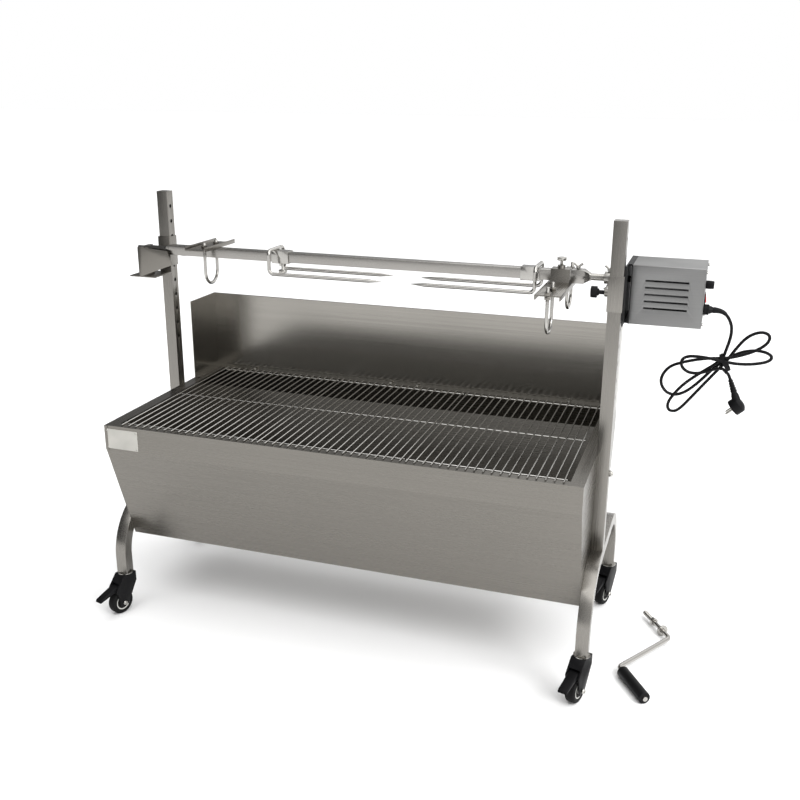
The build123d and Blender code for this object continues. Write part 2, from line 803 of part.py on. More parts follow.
def fork(name, x, side, screw_way):
    """Two-pronged fork bent from one rod, welded over a collar. side points along the prongs."""
    z_over = spit_z + collar_outer + fork_rod / 2 - weld_sink
    z_under = spit_z - fork_drop
    tip = x + side * (fork_length - fork_point)
    front = mid_y - fork_half_width
    back = mid_y + fork_half_width
    with BuildPart() as prongs:
        with BuildLine() as route:
            FilletPolyline(
                (tip, front, z_under),
                (x, front, z_under),
                (x, front, z_over),
                (x, back, z_over),
                (x, back, z_under),
                (tip, back, z_under),
                radius=fork_bend,
            )
        with BuildSketch(Plane(origin=(tip, front, z_under), z_dir=(-side, 0, 0))):
            Circle(fork_rod / 2)
        sweep()
        for prong_y in (front, back):
            cone((tip, prong_y, z_under), (side, 0, 0), fork_rod / 2, fork_tip_radius, fork_point)
        collar_start = x - side * fork_setback
        x0 = min(collar_start, collar_start + side * fork_collar)
        collar(x0, fork_collar)
        screw_at = Vector(x0 + fork_collar / 2, mid_y, spit_z)
        way = Vector(*screw_way)
        peg(screw_at + way * collar_inner, way, boss_radius, boss_end - collar_inner)
        collar_bore(x0, fork_collar)
        peg(screw_at + way * collar_inner, way, thumb_shank + running_gap,
            boss_end - collar_inner, Mode.SUBTRACT)
    save(prongs, name)
    thumb_screw(f"{name}_screw", screw_at, way)


def thumb_screw(name, at, way):
    """Thumb screw with a round head, its tip just clear of the bar."""
    with BuildPart() as screw:
        peg(at + way * (half_bar + 2 * clearance), way, thumb_shank, boss_end + thumb_neck - half_bar)
        peg(at + way * (boss_end + thumb_neck), way, thumb_head_radius, thumb_head)
    save(screw, name)


fork("fork_left", mid_x + fork_left_x, 1, (0, 0, -1))
fork("fork_right", mid_x + fork_right_x, -1, (0, 1, 0))

# ---------------------------------------------------------------- back clamps

leg_room = ubolt_rod / 2 + leg_gap


def clamp_plate(x, z_face, away, length):
    """Channel plate across the bar, its two edges bent away from it, in the part being built."""
    z_out = z_face + away * clamp_sheet
    z_edge = z_face + away * clamp_edge
    x0 = x - clamp_width / 2
    x1 = x + clamp_width / 2
    y0 = mid_y - length / 2
    y1 = mid_y + length / 2
    block(x0, x1, y0, y1, min(z_face, z_out), max(z_face, z_out))
    for edge_x in (x0, x1 - clamp_sheet):
        block(edge_x, edge_x + clamp_sheet, y0, y1, min(z_face, z_edge), max(z_face, z_edge))


def leg_holes(x, centre_y, z_face, away):
    for leg in (-1, 1):
        start = (x, centre_y + leg * ubolt_half_span, z_face - away)
        peg(start, (0, 0, away), leg_room, clamp_sheet + 2.0, Mode.SUBTRACT)


def nuts(x, centre_y, z_low):
    """A nut above and below the plate on each leg of a U-bolt."""
    for leg in (-1, 1):
        y = centre_y + leg * ubolt_half_span
        for z, up in ((z_low, -1), (z_low + clamp_sheet, 1)):
            hexagon((x, y, z), (0, 0, up), nut_width, nut_height)
            peg((x, y, z), (0, 0, up), ubolt_rod / 2 + running_gap, nut_height, Mode.SUBTRACT)


def ubolt(name, x, centre_y, z_top):
    """Threaded rod bent into a U, hanging from its nuts."""
    z_turn = z_top - ubolt_length + ubolt_half_span + ubolt_rod / 2
    with BuildPart() as bolt:
        for leg in (-1, 1):
            peg((x, centre_y + leg * ubolt_half_span, z_turn), (0, 0, 1), ubolt_rod / 2, z_top - z_turn)
        with BuildSketch(Plane.XY.offset(z_turn)):
            with Locations((x, centre_y + ubolt_half_span)):
                Circle(ubolt_rod / 2)
        revolve(axis=Axis((x, centre_y, z_turn), (1, 0, 0)), revolution_arc=-180)
    save(bolt, name)


left_face = spit_z + half_bar + clearance
with BuildPart() as clamp_left:
    clamp_plate(mid_x + clamp_left_x, left_face, 1, clamp_left_length)
    leg_holes(mid_x + clamp_left_x, mid_y, left_face, 1)
with BuildPart() as clamp_left_nuts:
    nuts(mid_x + clamp_left_x, mid_y, left_face)
keep_both(clamp_left, clamp_left_nuts)
save(clamp_left, "clamp_left_plate")
ubolt("ubolt_left", mid_x + clamp_left_x, mid_y, left_face + ubolt_left_rise)

right_face = spit_z - collar_outer
pair_y = {"front": mid_y - ubolt_pair_offset, "back": mid_y + ubolt_pair_offset}
with BuildPart() as clamp_right:
    clamp_plate(mid_x + clamp_right_x, right_face, -1, clamp_right_length)
    for centre_y in pair_y.values():
        leg_holes(mid_x + clamp_right_x, centre_y, right_face, -1)
    collar_x = mid_x + clamp_right_x - clamp_collar / 2
    collar(collar_x, clamp_collar)
    screw_at = Vector(mid_x + clamp_right_x, mid_y, spit_z)
    peg(screw_at + Vector(0, 0, collar_inner), (0, 0, 1), boss_radius, boss_end - collar_inner)
    collar_bore(collar_x, clamp_collar)
    peg(screw_at + Vector(0, 0, collar_inner), (0, 0, 1), thumb_shank + running_gap,
        boss_end - collar_inner, Mode.SUBTRACT)
with BuildPart() as clamp_right_nuts:
    for centre_y in pair_y.values():
        nuts(mid_x + clamp_right_x, centre_y, right_face - clamp_sheet)
keep_both(clamp_right, clamp_right_nuts)
save(clamp_right, "clamp_right_plate")
thumb_screw("clamp_right_screw", screw_at, Vector(0, 0, 1))
for word, centre_y in pair_y.items():
    ubolt(f"ubolt_right_{word}", mid_x + clamp_right_x, centre_y, right_face + ubolt_right_rise)

# ---------------------------------------------------------------- mains cord

cord_y = dial_y
exit_x = motor_x1 + gland_length
exit_z = gland_z
tie_x = exit_x + tie_out
tie_z = exit_z - tie_drop


def cord_tube(name, points):
    """Cord along straight runs joined by arcs as large as the runs allow."""
    radii = []
    for before, point, after in zip(points, points[1:], points[2:]):
        run_in = Vector(*point) - Vector(*before)
        run_out = Vector(*after) - Vector(*point)
        half_turn = radians(run_in.get_angle(run_out)) / 2
        radii.append(0.45 * min(run_in.length, run_out.length) / tan(half_turn))
    print(name, "radii", [round(r, 1) for r in radii])
    with BuildPart() as cord:
        with BuildLine() as route:
            FilletPolyline(*points, radius=radii)
        start_way = Vector(*points[1]) - Vector(*points[0])
        with BuildSketch(Plane(origin=points[0], z_dir=start_way)):
            Circle(cord_diameter / 2)
        sweep()
    section = pi * cord_diameter**2 / 4
    print(name, "length", round(route.wires()[0].length, 1), "volume ratio",
          round(cord.part.volume / section / route.wires()[0].length, 4))
    save(cord, name)


drop_points = [
    (exit_x, cord_y, exit_z),
    (exit_x + 14.0, cord_y, exit_z),
    (exit_x + 28.0, cord_y, exit_z - 7.5),
    (exit_x + 37.5, cord_y, exit_z - 21.5),
    (exit_x + 42.5, cord_y, exit_z - 36.0),
    (exit_x + 43.0, cord_y, exit_z - 54.0),
    (tie_x + 5.3, cord_y, tie_z + 43.2),
    (tie_x + 1.3, cord_y, tie_z + 27.2),
]
cord_tube("cord_drop", drop_points)

hank_outline = [
    (8.0, 25.3), (30.0, 50.0), (58.0, 76.0), (82.0, 82.0), (102.0, 70.0), (112.0, 20.0), (96.0, 4.0),
    (52.0, -6.0), (8.0, -16.0), (-10.0, -22.0), (-44.0, -72.0), (-70.0, -104.0), (-96.0, -138.0),
    (-112.0, -138.0), (-122.0, -118.0), (-134.0, -98.0), (-145.0, -66.0), (-140.0, -34.0),
    (-114.0, -12.0), (-94.0, 10.0), (-80.0, 16.0), (-48.0, 12.0), (-12.0, 12.0),
    (-5.0, 28.5),
]
with BuildPart() as hank:
    with BuildSketch(Plane.XZ.offset(-cord_y)):
        with BuildLine():
            Polyline(*[(tie_x + x, tie_z + z) for x, z in hank_outline], close=True)
        make_face()
    extrude(amount=hank_thickness / 2, both=True)
save(hank, "cord_hank")

plug_face = Vector(tie_x + 29.0, cord_y, tie_z - 109.0)
plug_way = Vector(-0.74, 0, -0.67).normalized()
plug_entry = Vector(tie_x + 17.0, cord_y, tie_z - 41.0)
body_centre = plug_face - plug_way * (plug_depth / 2 + 1.0)
neck_way = body_centre - plug_entry
tail_points = [
    (tie_x + 3.0, cord_y, tie_z - 19.6),
    tuple(plug_entry - neck_way * 0.2),
    tuple(plug_entry),
]
cord_tube("cord_tail", tail_points)

with BuildPart() as plug:
    peg(plug_face, -plug_way, plug_radius, plug_depth)
    cone(plug_entry, neck_way, plug_neck_radius, plug_shoulder_radius, neck_way.length)
    for offset_y in (-plug_pin_offset, plug_pin_offset):
        peg(plug_face + Vector(0, offset_y, 0), plug_way, plug_pin_radius, plug_pin_length)
save(plug, "plug")

# ---------------------------------------------------------------- hand crank

crank_z = crank_grip_radius
crank_points = [
    (x_right + 128.0, y_front + 468.0, crank_z),
    (x_right + 200.0, y_front + 356.0, crank_z),
    (x_right + 92.0, y_front + 181.0, crank_z),
    (x_right + 166.0, y_front + 66.0, crank_z),
]
stud = Vector(*crank_points[0])
stud_way = (Vector(*crank_points[1]) - stud).normalized()
grip_end = Vector(*crank_points[3])
grip_way = (grip_end - Vector(*crank_points[2])).normalized()
with BuildPart() as crank:
    with BuildLine():
        FilletPolyline(*crank_points, radius=crank_bend)
    with BuildSketch(Plane(origin=stud, z_dir=stud_way)):
        Circle(crank_rod / 2)
    sweep()
with BuildPart() as crank_hardware:
    nut_at = stud + stud_way * crank_nut_place
    washer_at = stud + stud_way * crank_washer_place
    hexagon(nut_at, stud_way, crank_nut_width, crank_nut_height)
    peg(washer_at, stud_way, crank_grip_radius, crank_washer_height)
    for at, depth in ((nut_at, crank_nut_height), (washer_at, crank_washer_height)):
        peg(at, stud_way, crank_rod / 2, depth, Mode.SUBTRACT)
keep_both(crank, crank_hardware)
save(crank, "crank_rod")
with BuildPart() as grip:
    grip_start = grip_end - grip_way * crank_grip_length
    peg(grip_start, grip_way, crank_grip_radius - 0.5, crank_grip_length - 4.0)
    peg(grip_start, grip_way, crank_rod / 2 + running_gap, crank_grip_length - 4.0, Mode.SUBTRACT)
save(grip, "crank_grip")
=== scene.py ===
import bpy, bmesh, json, math
from mathutils import Vector, Matrix


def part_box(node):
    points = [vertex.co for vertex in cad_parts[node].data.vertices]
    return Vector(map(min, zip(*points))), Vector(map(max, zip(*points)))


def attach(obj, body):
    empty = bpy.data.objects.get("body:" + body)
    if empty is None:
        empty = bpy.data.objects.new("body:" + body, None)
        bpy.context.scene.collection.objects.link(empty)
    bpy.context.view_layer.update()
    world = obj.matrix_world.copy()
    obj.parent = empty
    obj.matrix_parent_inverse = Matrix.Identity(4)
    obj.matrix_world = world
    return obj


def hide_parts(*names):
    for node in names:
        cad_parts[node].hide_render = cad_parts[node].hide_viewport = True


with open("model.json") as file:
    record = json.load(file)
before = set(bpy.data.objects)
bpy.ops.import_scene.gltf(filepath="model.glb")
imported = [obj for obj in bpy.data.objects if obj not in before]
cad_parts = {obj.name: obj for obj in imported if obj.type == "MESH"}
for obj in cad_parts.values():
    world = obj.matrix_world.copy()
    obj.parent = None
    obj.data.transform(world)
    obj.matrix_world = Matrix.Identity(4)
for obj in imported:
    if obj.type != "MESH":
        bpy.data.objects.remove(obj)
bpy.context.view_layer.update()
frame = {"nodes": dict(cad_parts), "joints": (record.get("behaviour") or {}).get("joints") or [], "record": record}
nodes = frame["nodes"]
joints = {j["name"]: j for j in frame["joints"]}
scene = bpy.context.scene
print("model loaded", len(nodes), "nodes")

# the trough's left end, front face and rim, which the label plate is placed from
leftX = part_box("firebox_left_end")[0].x
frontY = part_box("firebox_front")[0].y
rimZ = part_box("firebox_front")[1].z

# ---- camera, light and floor

# angles in radians, yaw from +Y towards +X and pitch down
cameraView = {
    "place": (0.76535, -2.2215, 1.3699), "yaw": -0.3246, "pitch": 0.3144, "roll": 0.0057, "lens": 43.79,
    "sensor": 36, "farthest": 50,
}


def makeCamera(view):
    yaw, pitch, roll = view["yaw"], view["pitch"], view["roll"]
    forward = Vector((math.sin(yaw) * math.cos(pitch), math.cos(yaw) * math.cos(pitch), -math.sin(pitch)))
    right = Vector((math.cos(yaw), -math.sin(yaw), 0))
    up = right.cross(forward)
    turnedRight = right * math.cos(roll) + up * math.sin(roll)
    turnedUp = up * math.cos(roll) - right * math.sin(roll)
    data = bpy.data.cameras.new("camera")
    data.lens = view["lens"]
    data.sensor_width = view["sensor"]
    data.clip_end = view["farthest"]
    camera = bpy.data.objects.new("camera", data)
    scene.collection.objects.link(camera)
    turn = Matrix((turnedRight, turnedUp, -forward)).transposed().to_4x4()
    camera.matrix_world = Matrix.Translation(view["place"]) @ turn
    scene.camera = camera


makeCamera(cameraView)

studio = {
    "backdrop": 1.0,
    "surround": (0.12, 1.15),  # from the -X side to the +X side
    "surroundSpan": (-0.65, 0.35),
    "sun": (2.1, 75),  # strength, angle across in degrees
    "sunTilt": (12, 14),
    "lights": [
        # place, target, size, power
        ((-1.2, -2.2, 3.4), (0, 0, 0.3), 2.2, 12),
        ((3.0, -1.6, 2.2), (0, 0, 0.5), 1.6, 55),
        ((0.4, 2.4, 3.0), (0, 0.3, 0.2), 2.6, 20),
    ],
    "floor": (0.94, 0.94, 0.94),
    "floorRoughness": 0.9,
    "floorReach": 40,
}


def makeStudio(look):
    world = bpy.data.worlds.new("studio")
    scene.world = world
    world.use_nodes = True
    # a bright backdrop to look at, a softer surround to light and reflect
    tree = world.node_tree
    shade = tree.nodes["Background"]
    shade.inputs["Color"].default_value = (1, 1, 1, 1)
    where = tree.nodes.new("ShaderNodeTexCoord")
    split = tree.nodes.new("ShaderNodeSeparateXYZ")
    surround = tree.nodes.new("ShaderNodeMapRange")
    for ends, span in (("From", look["surroundSpan"]), ("To", look["surround"])):
        surround.inputs[f"{ends} Min"].default_value, surround.inputs[f"{ends} Max"].default_value = span
    path = tree.nodes.new("ShaderNodeLightPath")
    strength = tree.nodes.new("ShaderNodeMapRange")
    strength.inputs["To Max"].default_value = look["backdrop"]
    tree.links.new(where.outputs["Generated"], split.inputs[0])
    tree.links.new(split.outputs["X"], surround.inputs["Value"])
    tree.links.new(surround.outputs["Result"], strength.inputs["To Min"])
    tree.links.new(path.outputs["Is Camera Ray"], strength.inputs["Value"])
    tree.links.new(strength.outputs["Result"], shade.inputs["Strength"])
    scene.view_settings.view_transform = "Standard"
    sun = bpy.data.lights.new("softSun", "SUN")
    sun.energy, sun.angle = look["sun"][0], math.radians(look["sun"][1])
    sky = bpy.data.objects.new("softSun", sun)
    sky.rotation_euler = (*(math.radians(tilt) for tilt in look["sunTilt"]), 0)
    scene.collection.objects.link(sky)
    for number, (place, target, size, power) in enumerate(look["lights"]):
        data = bpy.data.lights.new(f"softbox{number}", "AREA")
        data.size = size
        data.energy = power
        lamp = bpy.data.objects.new(f"softbox{number}", data)
        aim = Vector(target) - Vector(place)
        lamp.matrix_world = Matrix.Translation(place) @ aim.to_track_quat("-Z", "Y").to_matrix().to_4x4()
        scene.collection.objects.link(lamp)
    reach = look["floorReach"]
    mesh = bpy.data.meshes.new("floor")
    mesh.from_pydata([(-reach, -reach, 0), (reach, -reach, 0), (reach, reach, 0), (-reach, reach, 0)], [],
                     [(0, 1, 2, 3)])
    floor = bpy.data.objects.new("floor", mesh)
    scene.collection.objects.link(floor)
    material = bpy.data.materials.new("paleFloor")
    material.use_nodes = True
    shader = material.node_tree.nodes["Principled BSDF"]
    shader.inputs["Base Color"].default_value = (*look["floor"], 1)
    shader.inputs["Roughness"].default_value = look["floorRoughness"]
    floor.data.materials.append(material)


makeStudio(studio)
print("studio ready")

# ---- materials


def newMaterial(name, colour, roughness, metallic=0.0, **sockets):
    material = bpy.data.materials.new(name)
    material.use_nodes = True
    shader = material.node_tree.nodes["Principled BSDF"]
    shader.inputs["Base Color"].default_value = (*colour, 1)
    shader.inputs["Roughness"].default_value = roughness
    shader.inputs["Metallic"].default_value = metallic
    for socket, value in sockets.items():
        shader.inputs[socket.replace("_", " ")].default_value = value
    return material


def addNode(material, kind, **values):
    node = material.node_tree.nodes.new(kind)
    for key, value in values.items():
        if key in node.inputs:
            node.inputs[key].default_value = value
        else:
            setattr(node, key, value)
    return node


def join(material, source, target):
    material.node_tree.links.new(source, target)


def mapRange(material, source, low, high, outLow, outHigh):
    node = addNode(material, "ShaderNodeMapRange")
    for number, value in enumerate((low, high, outLow, outHigh)):
        node.inputs[number + 1].default_value = value
    join(material, source, node.inputs[0])
    return node.outputs[0]


def shadeColour(material, factor, darkColour, lightColour):
    ramp = addNode(material, "ShaderNodeMix", data_type="RGBA")
    ramp.inputs[6].default_value = (*darkColour, 1)
    ramp.inputs[7].default_value = (*lightColour, 1)
    join(material, factor, ramp.inputs[0])
    shader = material.node_tree.nodes["Principled BSDF"]
    join(material, ramp.outputs[2], shader.inputs["Base Color"])


def addBump(material, height, strength, distance):
    bump = addNode(material, "ShaderNodeBump", Strength=strength, Distance=distance)
    join(material, height, bump.inputs["Height"])
    shader = material.node_tree.nodes["Principled BSDF"]
    join(material, bump.outputs["Normal"], shader.inputs["Normal"])


def objectNoise(material, scale, noiseScale, detail=3.0):
    place = addNode(material, "ShaderNodeTexCoord")
    mapping = addNode(material, "ShaderNodeMapping")
    mapping.inputs["Scale"].default_value = scale
    noise = addNode(material, "ShaderNodeTexNoise", Scale=noiseScale, Detail=detail)
    join(material, place.outputs["Object"], mapping.inputs["Vector"])
    join(material, mapping.outputs["Vector"], noise.inputs["Vector"])
    return noise.outputs["Fac"]


def brushedSteel(name, colour, along, roughness=0.27, streak=0.06, relief=0.10):
    # long fine scratches along one axis over faint cloudy smudges
    material = newMaterial(name, colour, roughness, 1.0, Anisotropic=0.35)
    fine = {"x": (1.2, 620, 620), "y": (620, 1.2, 620), "z": (620, 620, 1.2)}[along]
    scratches = objectNoise(material, fine, 1.0, 4.0)
    clouds = objectNoise(material, (1, 1, 1), 3.2, 2.0)
    blend = addNode(material, "ShaderNodeMath", operation="MULTIPLY_ADD")
    join(material, clouds, blend.inputs[0])
    blend.inputs[1].default_value = 0.45
    join(material, scratches, blend.inputs[2])
    total = mapRange(material, blend.outputs[0], 0.35, 1.1, 0.0, 1.0)
    dark = tuple(c * (1 - streak) for c in colour)
    light = tuple(min(1, c * (1 + streak)) for c in colour)
    shadeColour(material, total, dark, light)
    shader = material.node_tree.nodes["Principled BSDF"]
    rough = mapRange(material, blend.outputs[0], 0.35, 1.1, roughness + 0.07, roughness - 0.07)
    join(material, rough, shader.inputs["Roughness"])
    addBump(material, scratches, relief, 0.00012)
    return material


def mouldedPlastic(name, colour, roughness, grain=900.0, relief=0.12):
    material = newMaterial(name, colour, roughness)
    grainNoise = objectNoise(material, (1, 1, 1), grain, 2.0)
    clouds = objectNoise(material, (1, 1, 1), 24.0, 2.0)
    shadeColour(material, clouds, tuple(c * 0.8 for c in colour), tuple(c * 1.25 for c in colour))
    shader = material.node_tree.nodes["Principled BSDF"]
    rough = mapRange(material, clouds, 0.3, 0.7, roughness - 0.05, roughness + 0.06)
    join(material, rough, shader.inputs["Roughness"])
    addBump(material, grainNoise, relief, 0.0002)
    return material


steelTone = (0.190, 0.180, 0.163)
finishes = {
    "sheetAlongX": brushedSteel("sheetAlongX", steelTone, "x"),
    "sheetAlongY": brushedSteel("sheetAlongY", steelTone, "y"),
    "guardSheet": brushedSteel("guardSheet", (0.31, 0.297, 0.272), "x", 0.22, 0.06, 0.06),
    "tubeAlongZ": brushedSteel("tubeAlongZ", (0.225, 0.215, 0.198), "z", 0.28),
    "barAlongX": brushedSteel("barAlongX", (0.31, 0.30, 0.283), "x", 0.25),
    "rodSteel": brushedSteel("rodSteel", (0.40, 0.39, 0.37), "x", 0.18, 0.06, 0.1),
    "wireSteel": brushedSteel("wireSteel", (0.46, 0.45, 0.43), "y", 0.20, 0.08, 0.1),
    "zincPlate": brushedSteel("zincPlate", (0.42, 0.41, 0.385), "z", 0.28, 0.12, 0.1),
    "motorSheet": brushedSteel("motorSheet", (0.20, 0.20, 0.198), "x", 0.36),
    "darkPaint": mouldedPlastic("darkPaint", (0.014, 0.014, 0.014), 0.45, 500.0),
    "greyCasting": mouldedPlastic("greyCasting", (0.16, 0.16, 0.165), 0.6, 260.0, 0.5),
    "blackNylon": mouldedPlastic("blackNylon", (0.006, 0.006, 0.0065), 0.40),
    "blackRubber": mouldedPlastic("blackRubber", (0.007, 0.007, 0.007), 0.66, 600.0, 0.3),
    "paleHub": mouldedPlastic("paleHub", (0.50, 0.50, 0.47), 0.5),
    "redRocker": mouldedPlastic("redRocker", (0.42, 0.012, 0.012), 0.25, 900.0, 0.04),
    "cordSheath": mouldedPlastic("cordSheath", (0.005, 0.005, 0.0055), 0.45, 700.0, 0.1),
    "whiteMark": mouldedPlastic("whiteMark", (0.80, 0.80, 0.78), 0.5),
    "labelFoil": mouldedPlastic("labelFoil", (0.40, 0.39, 0.36), 0.42, 300.0, 0.05),
}
for finish in ("blackNylon", "blackRubber", "cordSheath", "darkPaint"):
    finishes[finish].node_tree.nodes["Principled BSDF"].inputs["Specular IOR Level"].default_value = 0.10
print("materials ready", len(finishes))

nodeFinish = {
    "sheetAlongX": ["firebox_front", "firebox_back", "firebox_floor"],
    "guardSheet": ["wind_guard_back", "wind_guard_wings"],
    "sheetAlongY": ["firebox_left_end", "firebox_right_end", "left_cradle",
                    "clamp_left_plate", "clamp_right_plate"],
    "tubeAlongZ": ["left_leg_arch", "right_leg_arch", "left_post", "right_post", "left_sleeve",
                   "right_sleeve"],
    "barAlongX": ["spit_bar", "spit_end_shafts", "drive_shaft"],
    "rodSteel": ["fork_left", "fork_right", "ubolt_left", "ubolt_right_front", "ubolt_right_back",
                 "crank_rod"],
    "wireSteel": ["grate_1", "grate_2", "grate_3"],
    "zincPlate": ["frame_fasteners", "spit_wing_screws", "fork_left_screw", "fork_right_screw",
                  "clamp_right_screw"],
    "motorSheet": ["motor_cover", "motor_end_panel"],
    "darkPaint": ["motor_bracket", "motor_base_plate"],
    "greyCasting": ["gear_motor"],
    "blackNylon": ["left_lock_pin", "right_lock_pin", "cable_gland", "speed_dial", "crank_grip"],
    "redRocker": ["power_switch"],
}
corners = ("front_left", "front_right", "rear_left", "rear_right")
nodeFinish["blackNylon"] += [f"caster_{piece}_{corner}" for piece in ("hood", "pedal") for corner in corners]
nodeFinish["blackRubber"] = [f"caster_wheel_{corner}" for corner in corners]
nodeFinish["cordSheath"] = ["cord_drop", "cord_hank", "cord_tail", "plug"]
finishOf = {node: finish for finish, members in nodeFinish.items() for node in members}
slotOf = {part["node"]: part["material_slot"] for part in frame["record"]["subparts"]}
bodyOf = {node: body for body, members in frame["record"]["behaviour"]["bodies"].items() for node in members}
for node, member in nodes.items():
    member.data.materials.clear()
    member.data.materials.append(finishes[finishOf[node]])

# ---- shared makers


def addPiece(name, mesh, body, slotName, *finishNames):
    piece = bpy.data.objects.new(name, mesh)
    scene.collection.objects.link(piece)
    for finish in finishNames:
        mesh.materials.append(finishes[finish])
    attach(piece, body)
    return piece


def smoothByAngle(mesh, degrees):
    shape = bmesh.new()
    shape.from_mesh(mesh)
    limit = math.radians(degrees)
    for face in shape.faces:
        face.smooth = True
    for edge in shape.edges:
        edge.smooth = len(edge.link_faces) == 2 and edge.calc_face_angle(0) < limit
    shape.to_mesh(mesh)
    shape.free()


# degrees between faces above which an edge stays sharp
sharpEdge = {"solid": 32, "turned": 35, "grown": 40}


def finishCopy(node, bevel, segments):
    # the CAD solid with its real small edge rounding
    mesh = nodes[node].data.copy()
    shape = bmesh.new()
    shape.from_mesh(mesh)
    bmesh.ops.remove_doubles(shape, verts=shape.verts, dist=1e-6)
    bmesh.ops.dissolve_limit(shape, angle_limit=math.radians(0.6), verts=shape.verts, edges=shape.edges)
    if bevel:
        limit = math.radians(sharpEdge["solid"])
        sharp = [e for e in shape.edges if len(e.link_faces) == 2 and e.calc_face_angle(0) > limit]
        bmesh.ops.bevel(shape, geom=sharp, offset=bevel, offset_type="OFFSET", segments=segments, profile=0.5,
                        affect="EDGES", clamp_overlap=True)
    shape.to_mesh(mesh)
    shape.free()
    mesh.materials.clear()
    name = "".join(word.capitalize() if number else word for number, word in enumerate(node.split("_")))
    piece = addPiece(name, mesh, bodyOf[node], slotOf[node], finishOf[node])
    smoothByAngle(mesh, sharpEdge["solid"])
    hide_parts(node)
    return piece


def sideVectors(way):
    way = Vector(way).normalized()
    first = way.orthogonal().normalized()
    return way, first, way.cross(first)


def ringMesh(name, rings, sides):
    # rings is a list of (centre, first side, second side, radius), joined in order and closed at both ends
    points, faces = [], []
    for centre, first, second, radius in rings:
        for step in range(sides):
            turn = 2 * math.pi * step / sides
            points.append(centre + (first * math.cos(turn) + second * math.sin(turn)) * radius)
    for ring in range(len(rings) - 1):
        for step in range(sides):
            a = ring * sides + step
            b = ring * sides + (step + 1) % sides
            faces.append((a, b, b + sides, a + sides))
    faces.append(tuple(range(sides))[::-1])
    faces.append(tuple(range((len(rings) - 1) * sides, len(rings) * sides)))
    mesh = bpy.data.meshes.new(name)
    mesh.from_pydata([tuple(p) for p in points], [], faces)
    return mesh


def turned(name, start, way, outline, sides):
    # a turned part: outline is (distance along the way, radius)
    way, first, second = sideVectors(way)
    start = Vector(start)
    return ringMesh(name, [(start + way * along, first, second, radius) for along, radius in outline], sides)


def mergedMesh(name, meshes):
    shape = bmesh.new()
    for mesh in meshes:
        shape.from_mesh(mesh)
        bpy.data.meshes.remove(mesh)
    bmesh.ops.recalc_face_normals(shape, faces=shape.faces)
    mesh = bpy.data.meshes.new(name)
    shape.to_mesh(mesh)
    shape.free()
    smoothByAngle(mesh, sharpEdge["turned"])
    return mesh


# ---- mains cord

mainsCord = {
    "diameter": 0.007,
    "length": 1.534,
    # offsets from the cord's exit at the gland, as across X and up Z
    "drop": [(0, 0), (14, 0), (28, -7.5), (37.5, -21.5), (42.5, -36), (43, -54)],
    # offsets from the tie, as across X, along Y, up Z
    "dropEnd": [(5.3, 0, 43.2), (1.3, 0, 27.2)],
    "lowLoop": [(-3, -1, 8), (-18, -1, -8), (-50, 0, -33), (-82, 1, -61), (-104, 1, -90), (-115, 2, -113),
                (-112, 3, -129), (-98, 4, -132), (-84, 5, -121), (-66, 6, -97), (-37, 6, -57), (-10, 7, -21)],
    "farRight": [(4, 7, -2), (20, 7, 26), (38, 5, 54), (57, 2, 69), (77, 0, 74), (91, -2, 66), (86, -4, 48),
                 (62, -5, 30), (32, -6, 17)],
    "leftLoop": [(4, -7, 9), (-30, -7, 6), (-60, -6, 0), (-88, -5, -9), (-115, -4, -20), (-131, -2, -41),
                 (-135, 0, -64), (-122, 3, -86), (-101, 6, -93), (-76, 9, -83), (-48, 11, -55),
                 (-22, 12.5, -22)],
    "nearRight": [(2, 13, 0), (30, 12, 20), (60, 8, 29), (86, 4, 28), (101, 0, 19), (92, -5, 8), (62, -9, 1),
                  (30, -12, -1)],
    "topLoop": [(0, -13.2, 2), (-30, -13, 7), (-56, -12.5, 9), (-79, -11.5, 8), (-93, -10, -2),
                (-91, -8, -20), (-76, -6, -32), (-54, -5, -33), (-32, -3, -25)],
    "tail": [(-14, -1, -18), (-1, 0, -17.5), (5.5, 0, -25)],
}
exitLow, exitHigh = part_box("cable_gland")
cordY = (exitLow.y + exitHigh.y) / 2
cordExit = Vector((exitHigh.x, cordY, (exitLow.z + exitHigh.z) / 2))
cordTie = cordExit + Vector((0.0347, 0, -0.115))
plugFace = cordTie + Vector((0.029, 0, -0.109))
plugWay = Vector((-0.74, 0, -0.67)).normalized()
plugEntry = cordTie + Vector((0.017, 0, -0.041))
plugCore = plugFace - plugWay * 0.014
neckWay = plugCore - plugEntry


def cordPoints(cord):
    mm = 0.001
    points = [cordExit + Vector((x, 0, z)) * mm for x, z in cord["drop"]]
    for part in ("dropEnd", "lowLoop", "farRight", "leftLoop", "nearRight", "topLoop", "tail"):
        points += [cordTie + Vector(offset) * mm for offset in cord[part]]
    points += [plugEntry - neckWay * 0.2, plugEntry]
    return points


pointRadius = 0.005


def routeCurve(name, points, bevel):
    data = bpy.data.curves.new(name, "CURVE")
    data.dimensions = "3D"
    data.resolution_u = 10
    spline = data.splines.new("NURBS")
    spline.points.add(len(points) - 1)
    # a point's radius scales the bevel and also pads the curve's bounding box, so it is kept small
    for point, place in zip(spline.points, points):
        point.co = (*place, 1)
        point.radius = pointRadius
    spline.order_u = 3
    spline.use_endpoint_u = True
    data.bevel_depth = bevel / pointRadius
    data.bevel_resolution = 5
    data.use_fill_caps = True
    curve = bpy.data.objects.new(name, data)
    scene.collection.objects.link(curve)
    return curve


def routeSamples(curve):
    bevel = curve.data.bevel_depth
    curve.data.bevel_depth = 0
    curve.data.use_fill_caps = False
    bpy.context.view_layer.update()
    mesh = bpy.data.meshes.new_from_object(curve)
    samples = [v.co.copy() for v in mesh.vertices]
    bpy.data.meshes.remove(mesh)
    curve.data.bevel_depth = bevel
    curve.data.use_fill_caps = True
    return samples


